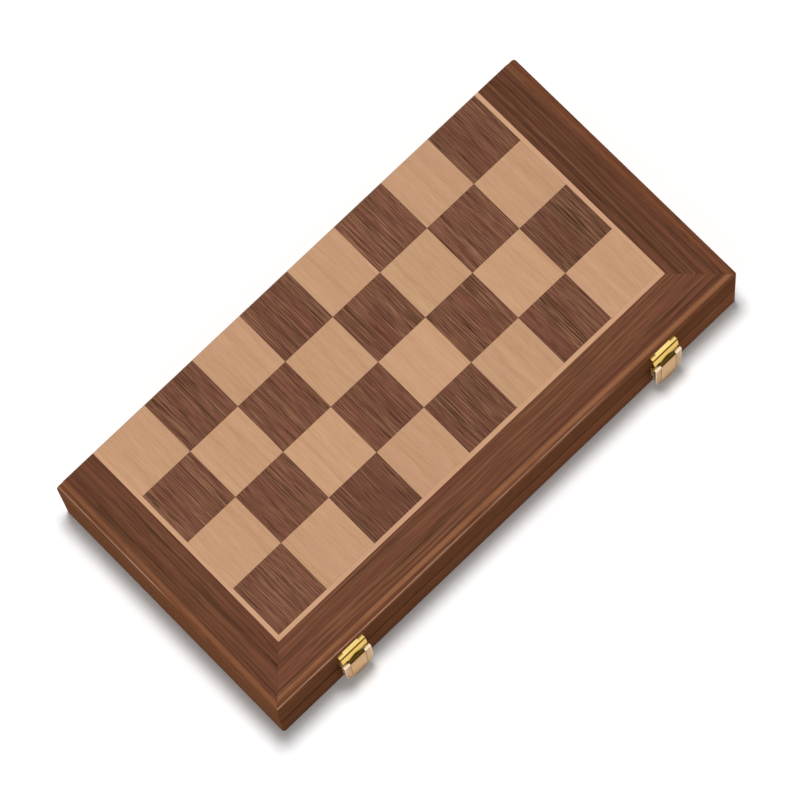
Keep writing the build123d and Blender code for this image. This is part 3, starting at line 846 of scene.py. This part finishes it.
def make_rook():
    """The tower has six battlements round a sunk top."""
    tower = turn_man("rook", 5.9, 23.4, [
        ("upright", 7.0, 25.2), ("line", 7.5, 25.4), ("level", 8.1, 26.2), ("upright", 7.5, 27.0),
        ("line", 6.5, 27.2), ("line", 6.5, 28.0), ("level", 8.3, 30.4), ("line", 8.45, 39.6),
        ("line", 8.1, 40.0), ("line", 6.1, 40.0), ("line", 5.8, 39.6), ("line", 5.8, 35.4)])
    for notch in range(battlements // 2):
        turn = notch * math.tau / battlements + 0.1
        cut_away(tower, add_block((0, 0, 39.1 * mm), (24 * mm, 2.2 * mm, 4.6 * mm), (0, 0, turn)))
    ease_edges(tower, turned_easing * mm, 1, turned_angle)
    return tower


def make_bishop():
    """The mitre has one slanting saw cut and a small ball on top."""
    body = turn_man("bishop", 3.9, 26.8, collar_cuts(28.6, 4.1) + [
        ("level", 6.0, 40.6), ("upright", 4.4, 47.4), ("line", 1.5, 50.4), ("line", 1.2, 50.9),
        ("level", 1.8, 52.3), ("upright", 0.2, 54.0)])
    cut_away(body, add_block(
        (5.6 * mm, 0, 45.4 * mm), (10 * mm, 14 * mm, 1.1 * mm), (0, math.radians(-50), 0)))
    ease_edges(body, fine_easing * mm, 1, turned_angle)
    return body


def make_queen():
    """The flared crown has eight scallops round its rim."""
    body = turn_man("queen", 4.1, 33.0, collar_cuts(35.0, 4.3) + [
        ("line", 4.5, 43.5), ("line", 5.0, 47.4), ("line", 5.8, 51.4), ("line", 7.2, 56.2),
        ("line", 6.4, 56.5), ("line", 5.9, 55.6), ("upright", 2.0, 58.6), ("line", 1.5, 58.8),
        ("level", 2.2, 60.4), ("upright", 0.2, 62.0)])
    for number in range(scallops):
        angle = (number + 0.5) * math.tau / scallops
        bpy.ops.object.select_all(action="DESELECT")
        bpy.ops.mesh.primitive_cylinder_add(
            vertices=20, radius=1.5 * mm, depth=3.2 * mm, rotation=(math.pi / 2, 0, angle + math.pi / 2),
            location=(7.0 * mm * math.cos(angle), 7.0 * mm * math.sin(angle), 57.1 * mm))
        cut_away(body, bpy.context.object)
    ease_edges(body, fine_easing * mm, 1, turned_angle)
    return body


def make_king():
    """The flared crown has a domed top, which the cross is glued into."""
    return turn_man("king", 4.1, 35.6, collar_cuts(37.8, 4.4) + [
        ("line", 4.7, 46.4), ("line", 5.3, 50.4), ("line", 6.1, 54.4), ("line", 7.2, 58.6),
        ("line", 7.3, 59.0), ("line", 6.9, 59.5), ("upright", 2.0, 61.9), ("line", 1.5, 62.1),
        ("line", 1.3, 62.8)])


def make_king_cross():
    """A plain cross with flared arms, glued into the crown."""
    cross = add_block((0, 0, 66.4 * mm), (1.7 * mm, 2.2 * mm, 1.7 * mm))
    cross.name = "king_cross"
    settle(cross)
    for direction, length in (((0, 0, 1), 2.75), ((0, 0, -1), 2.95), ((1, 0, 0), 2.0), ((-1, 0, 0), 2.0)):
        outwards = Vector(direction)
        bpy.ops.object.mode_set(mode="EDIT")
        bpy.ops.mesh.select_all(action="DESELECT")
        bpy.ops.object.mode_set(mode="OBJECT")
        inner = [face for face in cross.data.polygons if face.normal.dot(outwards) > 0.99]
        inner[0].select = True
        centre = inner[0].center + outwards * length * mm
        bpy.ops.object.mode_set(mode="EDIT")
        bpy.ops.mesh.select_mode(type="FACE")
        bpy.ops.mesh.extrude_region_move(TRANSFORM_OT_translate={"value": outwards * length * mm})
        flare = tuple(1 if part or number == 1 else 1.9 for number, part in enumerate(direction))
        bpy.ops.transform.resize(value=flare, center_override=centre)
        bpy.ops.object.mode_set(mode="OBJECT")
    ease_edges(cross, cross_easing * mm)
    return cross


def make_knight_foot():
    """A foot like the other men's, with a broad collar that the head stands on."""
    return turn_piece("knight_foot", 11.0, [
        ("line", 11.5, 0.6), ("line", 11.5, 2.2), ("upright", 10.3, 3.7), ("line", 9.8, 3.7),
        ("line", 9.8, 4.4), ("upright", 8.4, 8.0), ("level", 7.4, 11.0), ("upright", 8.2, 11.8),
        ("line", 8.6, 12.0), ("level", 9.0, 12.7), ("upright", 8.5, 13.4), ("line", 8.3, 13.5)])


head_outline = [
    (6.4, 13.5), (7.1, 16.5), (6.4, 20.0), (4.6, 23.4), (2.9, 26.0), (2.6, 27.8), (3.7, 28.3),
    (5.4, 26.9), (6.9, 26.2), (8.0, 26.7), (8.2, 27.8), (7.6, 28.4), (8.7, 28.9), (9.1, 30.8),
    (8.4, 33.0), (6.5, 36.2), (4.6, 39.4), (3.0, 42.4), (2.0, 43.8), (1.6, 45.8), (0.3, 48.0),
    (-1.4, 46.4), (-2.0, 44.6), (-3.8, 44.1), (-5.8, 41.7), (-7.4, 38.0), (-8.4, 33.6),
    (-8.9, 28.6), (-8.6, 23.0), (-7.7, 17.6), (-7.0, 13.5)]


def make_knight_head():
    """Sawn to outline from a board, then rounded, thinned towards the ears and carved. Slanting cuts
    on both sides follow the curve of the neck as a mane."""
    bpy.ops.object.select_all(action="DESELECT")
    bpy.ops.mesh.primitive_circle_add(vertices=len(head_outline), radius=mm, fill_type="NGON")
    head = bpy.context.object
    head.name = "knight_head"
    for vertex, (x, z) in zip(head.data.vertices, head_outline):
        vertex.co = (x * mm, -3.2 * mm, z * mm)
    bpy.ops.object.mode_set(mode="EDIT")
    bpy.ops.mesh.select_mode(type="FACE")
    bpy.ops.mesh.select_all(action="SELECT")
    bpy.ops.mesh.extrude_region_move(TRANSFORM_OT_translate={"value": (0, 6.4 * mm, 0)})
    bpy.ops.mesh.select_all(action="SELECT")
    bpy.ops.mesh.normals_make_consistent(inside=False)
    for side in (-1, 1):
        bpy.ops.object.mode_set(mode="OBJECT")
        for face in head.data.polygons:
            face.select = face.normal.y * side > 0.99
        bpy.ops.object.mode_set(mode="EDIT")
        for inset, rise in ((0.5, 0.7), (0.7, 0.5), (0.9, 0.4)):
            bpy.ops.mesh.inset(thickness=inset * mm, depth=rise * mm)
    bpy.ops.object.mode_set(mode="OBJECT")
    for vertex in head.data.vertices:
        upwards = max(0.0, (vertex.co.z / mm - 22) / 26)
        vertex.co.y *= 1 - 0.45 * upwards
    for number in range(mane_cuts):
        slant = math.radians(24 + 5 * number)
        x, z = -8.6 + 0.12 * (number - 1) ** 2, 18 + 4.4 * number
        for side in (-1, 1):
            cut_away(head, add_block(
                (x * mm, side * 3.6 * mm, z * mm), (7.4 * mm, 3.0 * mm, 0.7 * mm), (0, slant, 0)))
    rounding = head.modifiers.new("rounding", "REMESH")
    rounding.mode = "VOXEL"
    rounding.voxel_size = 0.42 * mm
    smoothing = head.modifiers.new("smoothing", "SMOOTH")
    smoothing.iterations = 3
    bpy.ops.object.select_all(action="DESELECT")
    head.select_set(True)
    bpy.context.view_layer.objects.active = head
    bpy.ops.object.modifier_apply(modifier="rounding")
    bpy.ops.object.modifier_apply(modifier="smoothing")
    bpy.ops.object.shade_smooth()
    return head


makers = {
    "pawn": [make_pawn], "rook": [make_rook], "knight": [make_knight_foot, make_knight_head],
    "bishop": [make_bishop], "queen": [make_queen], "king": [make_king, make_king_cross]}
patterns = {kind: [make() for make in parts] for kind, parts in makers.items()}
for colour_name, wood in man_woods.items():
    material, tree, output = new_material(colour_name + "_men_wood")
    turned = add_node(tree, "Mapping", {"Vector": object_place(tree), "Rotation": (0, 0, math.pi / 2)})
    grain = add_group(tree, wood_grain, {
        "Vector": turned.outputs[0], **wood, "Line Spacing": 0.006, "Line Contrast": 0.5,
        "Band Contrast": 0.3, "Sway": 0.006, "Fibre Width": 0.001, "Fibre Slimness": 45,
        "Fibre Contrast": 0.3, "Pore Length": 0.006, "Pore Amount": 0.3})
    finish_wood(tree, output, grain, grain["Color"], gloss=0.25, shine=0.4)
    half = "lower" if colour_name == "light" else "upper"
    for kind, parts in patterns.items():
        node = f"{colour_name}_{kind}" + ("" if kind in ("queen", "king") else "s")
        for number in troughs[kind][3]:
            for pattern in parts:
                man = pattern.copy()
                man.data = pattern.data.copy()
                man.name = f"{colour_name}_{pattern.name}_{number + 1}"
                bpy.context.scene.collection.objects.link(man)
                man.location, man.rotation_euler = lying_place(kind, number, 0, axis_heights[half])
                settle(man)
                man.data.materials.append(material)
                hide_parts(node)
                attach(man, half + "_half")
for parts in patterns.values():
    for pattern in parts:
        bpy.data.objects.remove(pattern)

# Hinges and clasps.
# Polished brass, stamped from sheet and rolled round wire pins, held by screws and brads. The front
# plates of the clasps are brushed, and painted darker and a little redder as a painted reflection of the
# shaded floor beside the box. Painted shade darkens the creases, slots and grooves, painted shade and
# dark reflection fill the hollow under the hood, and the knuckles and lower rim are painted bright:
# partly rubbed by hands, partly painted highlight.
clasp_pair_shift = -2.5
clasp_half_spacing = 131.7
brass_easing = 0.2
hinge_easing = 0.12
bright_brass = srgb(252, 222, 140)
hinge_brass = srgb(236, 200, 122)
# Painted reflection: the front plates' colour is darker and redder, standing in for the shaded floor that
# they mirror.
plate_reflection_brass = srgb(193, 154, 107)
touched_brass = srgb(200, 150, 90)
# Painted highlight, partly brass rubbed bright by hands: the flap's knuckles and lower rim.
rubbed_and_highlight_brass = srgb(248, 226, 192)
# Painted shade in the fold and slots of the hood.
crease_shade_colour = srgb(150, 112, 40)
# Painted shade and dark reflection in the hollow under the hood.
hollow_shade_colour = srgb(58, 50, 30)
# Painted shade in the grooves down the front plate.
groove_shade_colour = srgb(130, 84, 54)
grazing_brass = srgb(216, 196, 167)
grazing_plate = srgb(247, 240, 230)
# Where the marks lie: outwards from the front of the box, in height, and beside a clasp's middle.
fold_reach = (2.85, 3.4)
slot_reach = (1.2, 1.0)
slot_beside = (6.0, 6.1)
hood_height = (56.0, 56.4)
hollow_reach = (3.6, 3.8)
hollow_height = (53.2, 50.6)
groove_beside = (6.0, 6.5)
groove_height = (12.5, 41.4)
groove_strength = 0.6
knuckle_height = (42.0, 42.6)
plate_half_width = 11.0
plate_round_top = 20.0
plate_round_height = 15.0
plate_rim = (0.86, 0.96)
plate_rim_strength = 0.7
# The bracket's hem, the hood's top, the floor of its slots and the crease under it: the heights and
# the reaches between which each lies in the solid, and how far each is raised.
risers = (
    ((54.5, 55.5), (-1.0, 3.6), 4.0),
    ((53.3, 54.0), (3.2, 4.1), 4.0),
    ((52.2, 52.8), (0.8, 2.1), 6.3),
    ((51.6, 52.2), (2.7, 3.8), 5.0),
)


def beside_clasp(tree):
    """In millimetres: outwards from the front of the box, height, and distance from a clasp's middle."""
    axes = split_vector(tree, scaled(tree, object_place(tree), (1 / mm,) * 3))
    outwards = math_node(tree, "SUBTRACT", board_front / mm, axes["Y"])
    from_middle = math_node(tree, "ABSOLUTE", math_node(tree, "SUBTRACT", axes["X"], clasp_pair_shift))
    beside = math_node(tree, "ABSOLUTE", math_node(tree, "SUBTRACT", from_middle, clasp_half_spacing))
    return outwards, axes["Z"], beside


def brass_finish(name, colour, grazing, roughness, marks=()):
    """Brass with faint scratches, duller where fingers touch it, and marks of another colour. The
    grazing colour is what it turns to when it is seen almost edge on."""
    material, tree, output = new_material(name)
    place = object_place(tree)
    touched = noise(tree, scaled(tree, place, (90, 90, 90)), 3.0, 0.6)
    scratched = noise(tree, scaled(tree, place, (4000, 300, 300)), 2.0)
    uneven = math_node(
        tree, "ADD", spread(tree, touched, 0.35, 0.7, 0, 0.12), spread(tree, scratched, 0.4, 0.7, 0, 0.06))
    metal = blend_colours(tree, spread(tree, touched, 0.4, 0.75, 0, 0.2), colour, touched_brass)
    for find_mark, mark_colour in marks:
        metal = blend_colours(tree, find_mark(tree), metal, mark_colour)
    bump = add_node(tree, "Bump", {"Strength": 0.25, "Distance": 0.00002, "Height": scratched})
    shader = add_node(tree, "BsdfPrincipled", {
        "Base Color": metal, "Metallic": 1.0, "Roughness": math_node(tree, "ADD", uneven, roughness),
        "Normal": bump.outputs[0], "Specular Tint": grazing})
    tree.links.new(shader.outputs[0], output.inputs["Surface"])
    return material


def bracket_folds(tree):
    """Painted shade in the fold of the hood and in the slots at its ends."""
    outwards, height, beside = beside_clasp(tree)
    fold = between(tree, outwards, *fold_reach, 0.2)
    slot = math_node(
        tree, "MULTIPLY", spread(tree, outwards, *slot_reach), spread(tree, beside, *slot_beside))
    in_hood = spread(tree, height, *hood_height)
    return math_node(tree, "MULTIPLY", math_node(tree, "MAXIMUM", fold, slot), in_hood)


def bracket_hollow(tree):
    """Painted shade and dark reflection in the hollow where the neck goes down to the pin."""
    outwards, height, beside = beside_clasp(tree)
    level = math_node(tree, "MULTIPLY_ADD", beside, 0.3, height)
    return math_node(
        tree, "MULTIPLY", spread(tree, level, *hollow_height), spread(tree, outwards, *hollow_reach))


def flap_grooves(tree):
    """Painted shade in the two fine grooves down the front plate."""
    _, height, beside = beside_clasp(tree)
    groove = math_node(
        tree, "MULTIPLY", between(tree, beside, *groove_beside, 0.1),
        between(tree, height, *groove_height, 0.1))
    return math_node(tree, "MULTIPLY", groove, groove_strength)


def flap_bright_edges(tree):
    """The rolled knuckles and the rounded lower rim, painted bright: partly where hands keep the brass
    bright, partly painted highlight.
    """
    _, height, beside = beside_clasp(tree)
    below = math_node(tree, "SUBTRACT", plate_round_top, height)
    below = math_node(tree, "DIVIDE", below, plate_round_height)
    across = math_node(tree, "DIVIDE", beside, plate_half_width)
    squares = math_node(
        tree, "ADD", math_node(tree, "POWER", math_node(tree, "MAXIMUM", below, 0.0), 2.0),
        math_node(tree, "POWER", across, 2.0))
    rim = math_node(tree, "MULTIPLY", spread(tree, squares, *plate_rim), plate_rim_strength)
    return math_node(tree, "MAXIMUM", rim, spread(tree, height, *knuckle_height))


brasses = {
    "hinge": brass_finish("hinge_brass", hinge_brass, grazing_brass, roughness=0.2),
    "clasp_bracket": brass_finish(
        "bracket_brass", bright_brass, grazing_brass, roughness=0.12,
        marks=[(bracket_folds, crease_shade_colour), (bracket_hollow, hollow_shade_colour)]),
    "clasp_flap": brass_finish(
        "flap_brass", plate_reflection_brass, grazing_plate, roughness=0.24,
        marks=[(flap_grooves, groove_shade_colour), (flap_bright_edges, rubbed_and_highlight_brass)]),
    "clasp": brass_finish("catch_brass", bright_brass, grazing_brass, roughness=0.16),
}
body_of_node = {
    node: body for body, nodes in frame["record"]["behaviour"]["bodies"].items() for node in nodes
}
for node, body in body_of_node.items():
    kinds = [kind for kind in brasses if kind in node]
    if kinds:
        loose = "screws" in node or "brads" in node
        easing_width = hinge_easing if kinds[0] == "hinge" else brass_easing
        piece = softened_copy(node, body, easing_width * mm)
        piece.data.materials.append(brasses[kinds[0]])
        if kinds[0] == "clasp_bracket" and not loose:
            for vertex in piece.data.vertices:
                height, outwards = vertex.co.z / mm, board_front / mm - vertex.co.y / mm
                for (bottom, top), (near, far), rise in risers:
                    if bottom < height < top and near < outwards < far:
                        vertex.co.z += rise * mm
